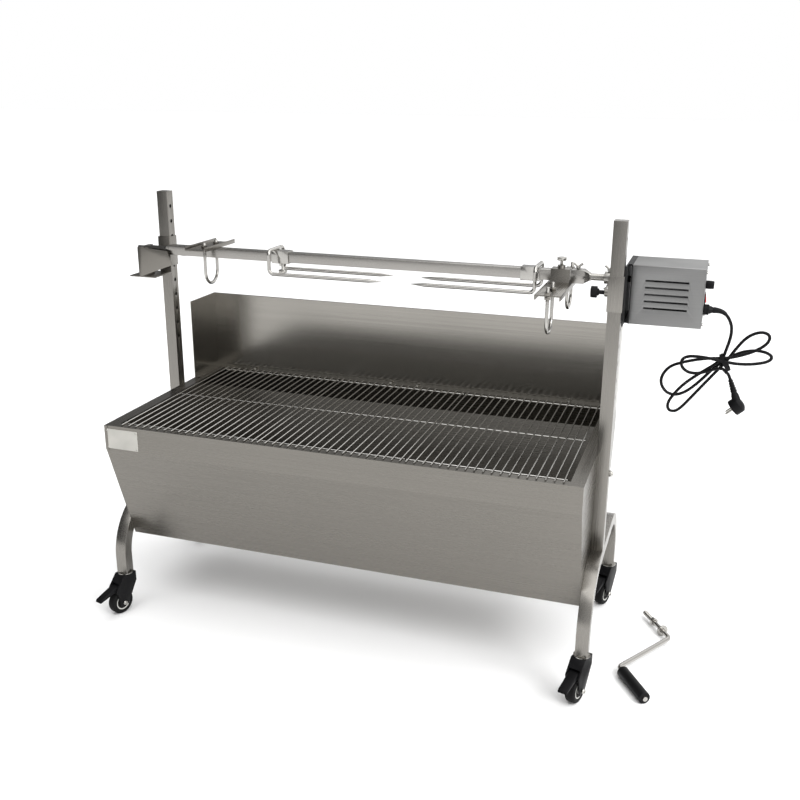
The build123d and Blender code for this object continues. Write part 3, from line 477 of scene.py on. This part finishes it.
cord = routeCurve("mainsCord", cordPoints(mainsCord), mainsCord["diameter"] / 2)
cord.data.materials.append(finishes["cordSheath"])
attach(cord, "right_carriage")
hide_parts("cord_drop", "cord_hank", "cord_tail")
samples = routeSamples(cord)
print("cord length", round(sum((b - a).length for a, b in zip(samples, samples[1:])), 4))

plugParts = {"radius": 0.019, "pinRadius": 0.0024, "pinGap": 0.019, "pinLength": 0.019, "neckRibs": 5}
tieParts = {"steps": 40, "acrossRise": 0.0205, "acrossSide": 0.0160, "squareness": 0.8, "lower": 0.003}
reliefParts = {"length": 0.028, "sides": 24, "startRadius": 0.0072, "taper": 0.0030}


def makePlug(parts):
    radius = parts["radius"]
    shell = [(0.0, radius - 0.0035), (-0.0002, radius - 0.001), (-0.0018, radius), (-0.017, radius),
             (-0.0195, radius - 0.0006), (-0.0225, radius - 0.004), (-0.0255, radius - 0.009),
             (-0.0268, 0.002)]
    body = turned("plugShell", plugFace, -plugWay, [(-along, r) for along, r in shell], 40)
    length = neckWay.length
    neck = [(0.0, 0.0042)]
    for rib in range(parts["neckRibs"]):
        at = 0.002 + rib * 0.006
        neck += [(at, 0.0050 + rib * 0.0005), (at + 0.0035, 0.0054 + rib * 0.0005),
                 (at + 0.0040, 0.0043 + rib * 0.0005), (at + 0.0055, 0.0043 + rib * 0.0005)]
    neck += [(length * 0.62, 0.0085), (length, 0.0105)]
    mesh = mergedMesh("plugBody", [body, turned("plugNeck", plugEntry, neckWay, neck, 28)])
    plugBody = addPiece("plugBody", mesh, "right_carriage", "cord", "cordSheath")
    pins = []
    for side in (-1, 1):
        start = plugFace + Vector((0, side * parts["pinGap"] / 2, 0)) - plugWay * 0.002
        long = parts["pinLength"] + 0.0018
        outline = [(0, parts["pinRadius"]), (long - 0.002, parts["pinRadius"]), (long - 0.0006, 0.0017),
                   (long, 0.0008)]
        pins.append(turned("pin", start, plugWay, outline, 20))
    plugPins = addPiece("plugPins", mergedMesh("plugPins", pins), "right_carriage", "fastener", "zincPlate")
    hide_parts("plug")
    return plugBody, plugPins


def makeTie(tie):
    # a short band round the crossing
    way = Vector((0.86, 0, 0.51)).normalized()
    rise = Vector((-0.51, 0, 0.86))
    side = Vector((0, 1, 0))
    points, faces = [], []
    steps, power = tie["steps"], tie["squareness"]
    # the band's section: along the way, outwards
    bands = [(-0.004, 0.0), (-0.0037, 0.0009), (0.0037, 0.0009), (0.004, 0.0), (0.0037, -0.0009),
             (-0.0037, -0.0009)]
    for step in range(steps):
        turn = 2 * math.pi * step / steps
        c, s = math.cos(turn), math.sin(turn)
        out = rise * math.copysign(abs(c) ** power, c) * tie["acrossRise"]
        out += side * math.copysign(abs(s) ** power, s) * tie["acrossSide"]
        for along, thick in bands:
            points.append(cordTie + rise * -tie["lower"] + out + out.normalized() * thick + way * along)
    count = len(bands)
    for step in range(steps):
        for band in range(count):
            a = step * count + band
            b = step * count + (band + 1) % count
            c = ((step + 1) % steps) * count + (band + 1) % count
            d = ((step + 1) % steps) * count + band
            faces.append((a, b, c, d))
    mesh = bpy.data.meshes.new("tieBand")
    mesh.from_pydata([tuple(p) for p in points], [], faces)
    merged = mergedMesh("cordTie", [mesh])
    return addPiece("cordTie", merged, "right_carriage", "cord", "blackNylon")


def makeStrainRelief(relief):
    # tapered sleeve that follows the cord out of the gland
    line, total = [samples[0]], 0.0
    for before, after in zip(samples, samples[1:]):
        total += (after - before).length
        line.append(after)
        if total > relief["length"]:
            break
    rings, run = [], 0.0
    for number, place in enumerate(line):
        if number:
            run += (place - line[number - 1]).length
        ahead = line[min(number + 1, len(line) - 1)] - line[max(number - 1, 0)]
        first = Vector((0, 1, 0))
        second = ahead.normalized().cross(first)
        rings.append((place, first, second, relief["startRadius"] - relief["taper"] * run / total))
    mesh = ringMesh("sleeve", rings, relief["sides"])
    merged = mergedMesh("strainRelief", [mesh])
    return addPiece("strainRelief", merged, "right_carriage", "cord", "blackNylon")


plugBody, plugPins = makePlug(plugParts)
cordTieBand = makeTie(tieParts)
strainRelief = makeStrainRelief(reliefParts)
print("cord made")

# ---- geometry node trees for what repeats


def newTree(name, inputs):
    tree = bpy.data.node_groups.new(name, "GeometryNodeTree")
    tree.interface.new_socket("Geometry", in_out="INPUT", socket_type="NodeSocketGeometry")
    for title, kind in inputs:
        tree.interface.new_socket(title, in_out="INPUT", socket_type="NodeSocket" + kind)
    tree.interface.new_socket("Geometry", in_out="OUTPUT", socket_type="NodeSocketGeometry")
    return tree


def put(tree, kind, links=None, **values):
    node = tree.nodes.new(kind)
    for key, value in values.items():
        setattr(node, key, value)
    for key, source in (links or {}).items():
        if hasattr(source, "is_output"):
            tree.links.new(source, node.inputs[key])
        else:
            node.inputs[key].default_value = source
    return node


def closeTree(tree, geometry, materialSource):
    real = put(tree, "GeometryNodeRealizeInstances", {"Geometry": geometry})
    coat = put(tree, "GeometryNodeSetMaterial", {"Geometry": real.outputs[0], "Material": materialSource})
    put(tree, "NodeGroupOutput", {"Geometry": coat.outputs[0]})


def placeOnPoints(tree, start, instance):
    # each point of the base mesh says where, its facing says which way up
    facing = put(tree, "GeometryNodeInputNamedAttribute", {"Name": "facing"}, data_type="FLOAT_VECTOR")
    turn = put(tree, "FunctionNodeAlignEulerToVector", {"Vector": facing.outputs[0]}, axis="Z")
    links = {"Points": start.outputs["Geometry"], "Instance": instance, "Rotation": turn.outputs[0]}
    return put(tree, "GeometryNodeInstanceOnPoints", links).outputs[0]


def screwTree():
    tree = newTree("screwHeads", [("Head Radius", "Float"), ("Head Height", "Float"),
                                  ("Socket Radius", "Float"), ("Finish", "Material")])
    start = put(tree, "NodeGroupInput")
    head = put(tree, "GeometryNodeMeshCone", {"Vertices": 28, "Side Segments": 1,
                                              "Radius Bottom": start.outputs["Head Radius"],
                                              "Depth": start.outputs["Head Height"]})
    crown = put(tree, "ShaderNodeMath", {0: start.outputs["Head Radius"], 1: 0.72}, operation="MULTIPLY")
    tree.links.new(crown.outputs[0], head.inputs["Radius Top"])
    socket = put(tree, "GeometryNodeMeshCylinder", {"Vertices": 6, "Radius": start.outputs["Socket Radius"],
                                                    "Depth": start.outputs["Head Height"]})
    rise = put(tree, "ShaderNodeCombineXYZ", {"Z": start.outputs["Head Height"]})
    lifted = put(tree, "GeometryNodeTransform", {"Geometry": socket.outputs["Mesh"],
                                                 "Translation": rise.outputs[0]})
    cut = put(tree, "GeometryNodeMeshBoolean", operation="DIFFERENCE")
    tree.links.new(head.outputs["Mesh"], cut.inputs[0])
    tree.links.new(lifted.outputs[0], cut.inputs[1])
    closeTree(tree, placeOnPoints(tree, start, cut.outputs[0]), start.outputs["Finish"])
    return tree


def threadTree():
    tree = newTree("threads", [("Radius", "Float"), ("Ridge", "Float"), ("Pitch", "Float"), ("Count", "Int"),
                               ("Finish", "Material")])
    start = put(tree, "NodeGroupInput")
    hoop = put(tree, "GeometryNodeCurvePrimitiveCircle", {"Resolution": 24,
                                                          "Radius": start.outputs["Radius"]})
    ridge = put(tree, "GeometryNodeCurvePrimitiveCircle", {"Resolution": 5, "Radius": start.outputs["Ridge"]})
    ring = put(tree, "GeometryNodeCurveToMesh", {"Curve": hoop.outputs[0], "Profile Curve": ridge.outputs[0]})
    step = put(tree, "ShaderNodeCombineXYZ", {"Z": start.outputs["Pitch"]})
    line = put(tree, "GeometryNodeMeshLine", {"Count": start.outputs["Count"], "Offset": step.outputs[0]})
    stack = put(tree, "GeometryNodeInstanceOnPoints", {"Points": line.outputs[0],
                                                       "Instance": ring.outputs[0]})
    closeTree(tree, placeOnPoints(tree, start, stack.outputs[0]), start.outputs["Finish"])
    return tree


def ribTree():
    tree = newTree("ribs", [("Radius", "Float"), ("Length", "Float"), ("Width", "Float"), ("Height", "Float"),
                            ("Count", "Int"), ("Finish", "Material")])
    start = put(tree, "NodeGroupInput")
    ring = put(tree, "GeometryNodeMeshCircle", {"Vertices": start.outputs["Count"],
                                                "Radius": start.outputs["Radius"]})
    size = put(tree, "ShaderNodeCombineXYZ", {"X": start.outputs["Height"], "Y": start.outputs["Width"],
                                              "Z": start.outputs["Length"]})
    bar = put(tree, "GeometryNodeMeshCube", {"Size": size.outputs[0]})
    half = put(tree, "ShaderNodeMath", {0: start.outputs["Length"], 1: 0.5}, operation="MULTIPLY")
    rise = put(tree, "ShaderNodeCombineXYZ", {"Z": half.outputs[0]})
    lifted = put(tree, "GeometryNodeTransform", {"Geometry": bar.outputs["Mesh"],
                                                 "Translation": rise.outputs[0]})
    out = put(tree, "GeometryNodeInputPosition")
    turn = put(tree, "FunctionNodeAlignEulerToVector", {"Vector": out.outputs[0]}, axis="X")
    crown = put(tree, "GeometryNodeInstanceOnPoints", {"Points": ring.outputs[0],
                                                       "Instance": lifted.outputs[0],
                                                       "Rotation": turn.outputs[0]})
    closeTree(tree, placeOnPoints(tree, start, crown.outputs[0]), start.outputs["Finish"])
    return tree


def rodGridTree():
    tree = newTree("rodGrid", [("First Rod", "Vector"), ("Rod Length", "Float"), ("Rod Radius", "Float"),
                               ("Pitch", "Float"), ("Rods", "Int"), ("First Cross", "Vector"),
                               ("Cross Length", "Float"), ("Cross Pitch", "Float"), ("Crosses", "Int"),
                               ("Finish", "Material")])
    start = put(tree, "NodeGroupInput")
    parts = []
    quarter = math.pi / 2
    rows = (("Y", "Rod Length", "Pitch", "Rods", "First Rod"),
            ("X", "Cross Length", "Cross Pitch", "Crosses", "First Cross"))
    for along, length, pitch, count, place in rows:
        rod = put(tree, "GeometryNodeMeshCylinder", {"Vertices": 12, "Radius": start.outputs["Rod Radius"],
                                                     "Depth": start.outputs[length]})
        lay = (-quarter, 0, 0) if along == "Y" else (0, quarter, 0)
        laid = put(tree, "GeometryNodeTransform", {"Geometry": rod.outputs["Mesh"], "Rotation": lay})
        step = put(tree, "ShaderNodeCombineXYZ", {"X" if along == "Y" else "Y": start.outputs[pitch]})
        line = put(tree, "GeometryNodeMeshLine", {"Count": start.outputs[count],
                                                  "Start Location": start.outputs[place],
                                                  "Offset": step.outputs[0]})
        parts.append(put(tree, "GeometryNodeInstanceOnPoints", {"Points": line.outputs[0],
                                                                "Instance": laid.outputs[0]}))
    both = put(tree, "GeometryNodeJoinGeometry")
    for part in parts:
        tree.links.new(part.outputs[0], both.inputs[0])
    closeTree(tree, both.outputs[0], start.outputs["Finish"])
    return tree


trees = {"screws": screwTree(), "threads": threadTree(), "ribs": ribTree(), "rods": rodGridTree()}


def grow(name, treeName, settings, spots, body, finish):
    # spots are (place, facing) pairs, the tree grows one copy on each
    base = bpy.data.meshes.new(name)
    base.from_pydata([tuple(place) for place, facing in spots], [], [])
    facings = base.attributes.new("facing", "FLOAT_VECTOR", "POINT")
    for number, (place, facing) in enumerate(spots):
        facings.data[number].vector = Vector(facing).normalized()
    piece = bpy.data.objects.new(name, base)
    scene.collection.objects.link(piece)
    tree = trees[treeName]
    modifier = piece.modifiers.new("grow", "NODES")
    modifier.node_group = tree
    settings = dict(settings, Finish=finishes[finish])
    for item in tree.interface.items_tree:
        if item.in_out == "INPUT" and item.name in settings:
            modifier[item.identifier] = settings[item.name]
    bpy.context.view_layer.update()
    grown = bpy.data.meshes.new_from_object(piece.evaluated_get(bpy.context.evaluated_depsgraph_get()))
    piece.modifiers.clear()
    piece.data = grown
    if "facing" in grown.attributes:
        grown.attributes.remove(grown.attributes["facing"])
    smoothByAngle(grown, sharpEdge["grown"])
    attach(piece, body)
    return piece


print("trees ready", len(trees))

# ---- sheet metal, tubes and the plain solids with their real edges

edgeRounding = {
    "left_leg_arch": 0.0028, "right_leg_arch": 0.0028, "left_post": 0.0024, "right_post": 0.0024,
    "left_sleeve": 0.0012, "right_sleeve": 0.0012, "left_cradle": 0.0006, "spit_bar": 0.0016,
    "spit_end_shafts": 0.0010, "drive_shaft": 0.0010, "clamp_left_plate": 0.0005, "clamp_right_plate": 0.0005,
    "motor_cover": 0.0003, "motor_end_panel": 0.0003, "fork_left": 0.0006, "fork_right": 0.0006,
    "fork_left_screw": 0.0008, "fork_right_screw": 0.0008, "clamp_right_screw": 0.0008,
    "left_lock_pin": 0.0014, "right_lock_pin": 0.0014, "crank_grip": 0.0020, "crank_rod": 0.0006,
    "ubolt_left": 0.0006, "ubolt_right_front": 0.0006, "ubolt_right_back": 0.0006, "speed_dial": 0.0006,
    "power_switch": 0.0010, "cable_gland": 0.0009, "spit_wing_screws": 0.0010, "frame_fasteners": 0.0004,
}
for corner in corners:
    edgeRounding[f"caster_hood_{corner}"] = 0.0030
    edgeRounding[f"caster_pedal_{corner}"] = 0.0020
for node, rounding in edgeRounding.items():
    finishCopy(node, rounding, 3 if rounding > 0.001 else 2)
print("edges rounded", len(edgeRounding))

# ---- grates

grateMake = {"rods": 19, "crosses": 3, "rodRadius": 0.002, "pitch": 0.020}


def makeGrates(make):
    for number, body in ((1, "left_grate"), (2, "middle_grate"), (3, "right_grate")):
        low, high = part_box(f"grate_{number}")
        radius = make["rodRadius"]
        firstX = (low.x + high.x) / 2 - (make["rods"] - 1) * make["pitch"] / 2
        crossY = [low.y + 0.023, (low.y + high.y) / 2, high.y - 0.0137]
        settings = {
            "First Rod": (firstX, (low.y + high.y) / 2, high.z - radius), "Rod Length": high.y - low.y,
            "Rod Radius": radius, "Pitch": make["pitch"], "Rods": make["rods"],
            "First Cross": ((low.x + high.x) / 2, crossY[0], low.z + radius), "Cross Length": high.x - low.x,
            "Cross Pitch": (crossY[2] - crossY[0]) / 2, "Crosses": make["crosses"],
        }
        piece = grow(f"grate{number}", "rods", settings, [((0, 0, 0), (0, 0, 1))], body, "wireSteel")
        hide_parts(f"grate_{number}")


makeGrates(grateMake)
print("grates made")

# ---- casters

casterMake = {
    "tyreRound": 0.005, "hubRadius": 0.0212, "halfWidth": 0.012, "ringHeight": 0.0016, "ringRadius": 0.020,
    "ringInner": 0.012, "ringDrop": 0.0018, "boltOut": 0.0205,
    "bolt": {"Head Radius": 0.0062, "Head Height": 0.0036, "Socket Radius": 0.0026},
}


def makeCaster(corner, make):
    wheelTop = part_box(f"caster_wheel_{corner}")[1].z
    hubSpot = Vector(joints[f"{corner}_roll"]["pos_m"])
    across = Vector(joints[f"{corner}_roll"]["axis"]).normalized()
    radius, half = wheelTop - hubSpot.z, make["halfWidth"]
    inner, soft = make["hubRadius"], make["tyreRound"]
    tyre = [(-half + 0.0015, inner), (-half + 0.0004, inner + 0.0015), (-half, inner + 0.004),
            (-half, radius - soft)]
    for step in range(1, 6):
        turn = math.pi / 2 * step / 5
        tyre.append((-half + soft * (1 - math.cos(turn)), radius - soft * (1 - math.sin(turn))))
    tyre += [(-along, r) for along, r in tyre[::-1]]
    body = f"{corner}_roller"
    tyreMesh = mergedMesh("tyre", [turned("tyre", hubSpot, across, tyre, 56)])
    tyrePiece = addPiece(f"tyre_{corner}", tyreMesh, body, "tyre", "blackRubber")
    hub = [(-0.0126, 0.0046), (-0.0126, 0.0085), (-0.0112, 0.0095), (-0.0092, 0.0100), (-0.0085, 0.0110),
           (-0.0085, 0.0165), (-0.0100, 0.0180), (-0.0112, 0.0190), (-0.0112, inner)]
    hub += [(-along, r) for along, r in hub[::-1]]
    hubMesh = mergedMesh("hub", [turned("hub", hubSpot, across, hub, 48)])
    addPiece(f"hub_{corner}", hubMesh, body, "tyre", "paleHub")
    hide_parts(f"caster_wheel_{corner}")
    swivel = Vector(joints[f"{corner}_swivel_turn"]["pos_m"])
    tall, wide, bore = make["ringHeight"], make["ringRadius"], make["ringInner"]
    ring = [(0, bore), (0, wide), (tall, wide), (tall, bore)]
    leg = "left_leg_arch" if "left" in corner else "right_leg_arch"
    spot = Vector((swivel.x, swivel.y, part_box(leg)[0].z - make["ringDrop"]))
    addPiece(f"swivelRing_{corner}", mergedMesh("ring", [turned("ring", spot, (0, 0, 1), ring, 40)]),
             f"{corner}_swivel", "fastener", "zincPlate")
    # axle nut on one side and bolt head on the other
    spots = [(hubSpot + side * make["boltOut"], side) for side in (across, -across)]
    grow(f"axleBolt_{corner}", "screws", make["bolt"], spots, f"{corner}_swivel", "zincPlate")


for corner in corners:
    makeCaster(corner, casterMake)
print("casters made")

# ---- small screws and threads

screwMake = {
    "inset": 0.009, "lift": 0.0036,
    "panel": {"Head Radius": 0.0034, "Head Height": 0.0018, "Socket Radius": 0.0014},
}
motorLow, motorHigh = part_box("motor_cover")
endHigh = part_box("motor_end_panel")[1]


def makeMotorScrews(make):
    inset = make["inset"]
    spots = [(Vector((motorHigh.x + make["lift"], y, z)), (1, 0, 0))
             for y in (motorLow.y + inset, motorHigh.y - inset)
             for z in (motorLow.z + inset, motorHigh.z - inset)]
    grow("endPanelScrews", "screws", make["panel"], spots, "right_carriage", "zincPlate")


makeMotorScrews(screwMake)
threadMake = {
    "ubolt": {"Radius": 0.0040, "Ridge": 0.00038, "Pitch": 0.00125, "Count": 26},
    "stud": {"Radius": 0.0060, "Ridge": 0.0005, "Pitch": 0.00175, "Count": 24},
    "belowTop": 0.0008, "fromStudEnd": 0.0015, "studFace": 0.013,
}


def makeThreads(make):
    turns = make["ubolt"]
    bolts = {"ubolt_left": "left_ubolt", "ubolt_right_front": "front_ubolt", "ubolt_right_back": "back_ubolt"}
    for node, body in bolts.items():
        low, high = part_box(node)
        startZ = high.z - make["belowTop"] - (turns["Count"] - 1) * turns["Pitch"]
        legs = (low.y + turns["Radius"], high.y - turns["Radius"])
        spots = [(((low.x + high.x) / 2, y, startZ), (0, 0, 1)) for y in legs]
        grow(f"thread_{body}", "threads", turns, spots, body, "rodSteel")
    # the flat end of the crank's rod that lies furthest back
    rod = nodes["crank_rod"].data
    last = max(rod.polygons, key=lambda face: face.center.y)
    flat = [face for face in rod.polygons if (face.normal - last.normal).length < 0.001
            and (face.center - last.center).length < make["studFace"]]
    ring = [rod.vertices[i].co for i in {i for face in flat for i in face.vertices}]
    outward = last.normal.normalized()
    tip = sum(ring, Vector()) / len(ring) - outward * make["fromStudEnd"]
    grow("thread_crank", "threads", make["stud"], [(tip, -outward)], "crank", "rodSteel")


makeThreads(threadMake)
print("screws and threads made")

# ---- motor unit details

motorDetail = {
    "markWidth": 0.0016, "frameReach": (0.0034, 0.0030), "frameGap": 0.0004, "frameSpan": (0.0024, 0.0006),
    "glandRibs": {"Radius": 0.0112, "Length": 0.0058, "Width": 0.0016, "Height": 0.0014, "Count": 16},
    "glandRibsBack": 0.0160,
    "dialRibs": {"Radius": 0.0088, "Length": 0.0100, "Width": 0.0012, "Height": 0.0010, "Count": 20},
    "dialRibsBack": 0.0060,
}
dialSpot = Vector(joints["dial_turn"]["pos_m"])


def boxMesh(name, low, high):
    shape = bmesh.new()
    bmesh.ops.create_cube(shape, size=1.0)
    for corner in shape.verts:
        corner.co = Vector([low[i] if corner.co[i] < 0 else high[i] for i in range(3)])
    mesh = bpy.data.meshes.new(name)
    shape.to_mesh(mesh)
    shape.free()
    return mesh


def makeMotorDetails(detail):
    # black frame round the rocker, white line on the dial
    low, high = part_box("power_switch")
    reachY, reachZ = detail["frameReach"]
    gap = detail["frameGap"]
    outerLow, outerHigh = (low.y - reachY, low.z - reachZ), (high.y + reachY, high.z + reachZ)
    innerLow, innerHigh = (low.y - gap, low.z - gap), (high.y + gap, high.z + gap)
    start, end = endHigh.x - detail["frameSpan"][0], endHigh.x + detail["frameSpan"][1]
    bars = [((start, outerLow[0], outerLow[1]), (end, innerLow[0], outerHigh[1])),
            ((start, innerHigh[0], outerLow[1]), (end, outerHigh[0], outerHigh[1])),
            ((start, innerLow[0], outerLow[1]), (end, innerHigh[0], innerLow[1])),
            ((start, innerLow[0], innerHigh[1]), (end, innerHigh[0], outerHigh[1]))]
    mesh = mergedMesh("rockerFrame", [boxMesh("bar", a, b) for a, b in bars])
    addPiece("rockerFrame", mesh, "right_carriage", "black_plastic", "blackNylon")
    low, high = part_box("speed_dial")
    wide = detail["markWidth"] / 2
    mark = boxMesh("dialMark", (high.x - 0.0004, dialSpot.y - wide, dialSpot.z + 0.001),
                   (high.x + 0.0003, dialSpot.y + wide, high.z - 0.0014))
    addPiece("dialMark", mark, "dial", "black_plastic", "whiteMark")
    for name, spot, body in (("glandRibs", cordExit, "right_carriage"), ("dialRibs", dialSpot, "dial")):
        place = (spot.x - detail[f"{name}Back"], spot.y, spot.z)
        grow(name, "ribs", detail[name], [(place, (1, 0, 0))], body, "blackNylon")


makeMotorDetails(motorDetail)
print("motor details made")

# ---- blank label plate on the front band

labelPlate = {
    "left": 0.004, "width": 0.090, "top": 0.008, "height": 0.052, "thick": 0.0010, "sunk": 0.0002,
    "rivetInset": 0.004, "rivetLift": 0.0004,
    "rivet": {"Head Radius": 0.0022, "Head Height": 0.0010, "Socket Radius": 0.0005},
}


def makeLabel(label):
    x0 = leftX + label["left"]
    x1 = x0 + label["width"]
    z1 = rimZ - label["top"]
    z0 = z1 - label["height"]
    mesh = boxMesh("labelPlate", (x0, frontY - label["thick"], z0), (x1, frontY + label["sunk"], z1))
    addPiece("labelPlate", mesh, "frame", "sheet", "labelFoil")
    inset, y = label["rivetInset"], frontY - label["thick"] - label["rivetLift"]
    spots = [(Vector((x, y, z)), (0, -1, 0))
             for x in (x0 + inset, x1 - inset) for z in (z0 + inset, z1 - inset)]
    grow("labelRivets", "screws", label["rivet"], spots, "frame", "zincPlate")


makeLabel(labelPlate)
print("label made")
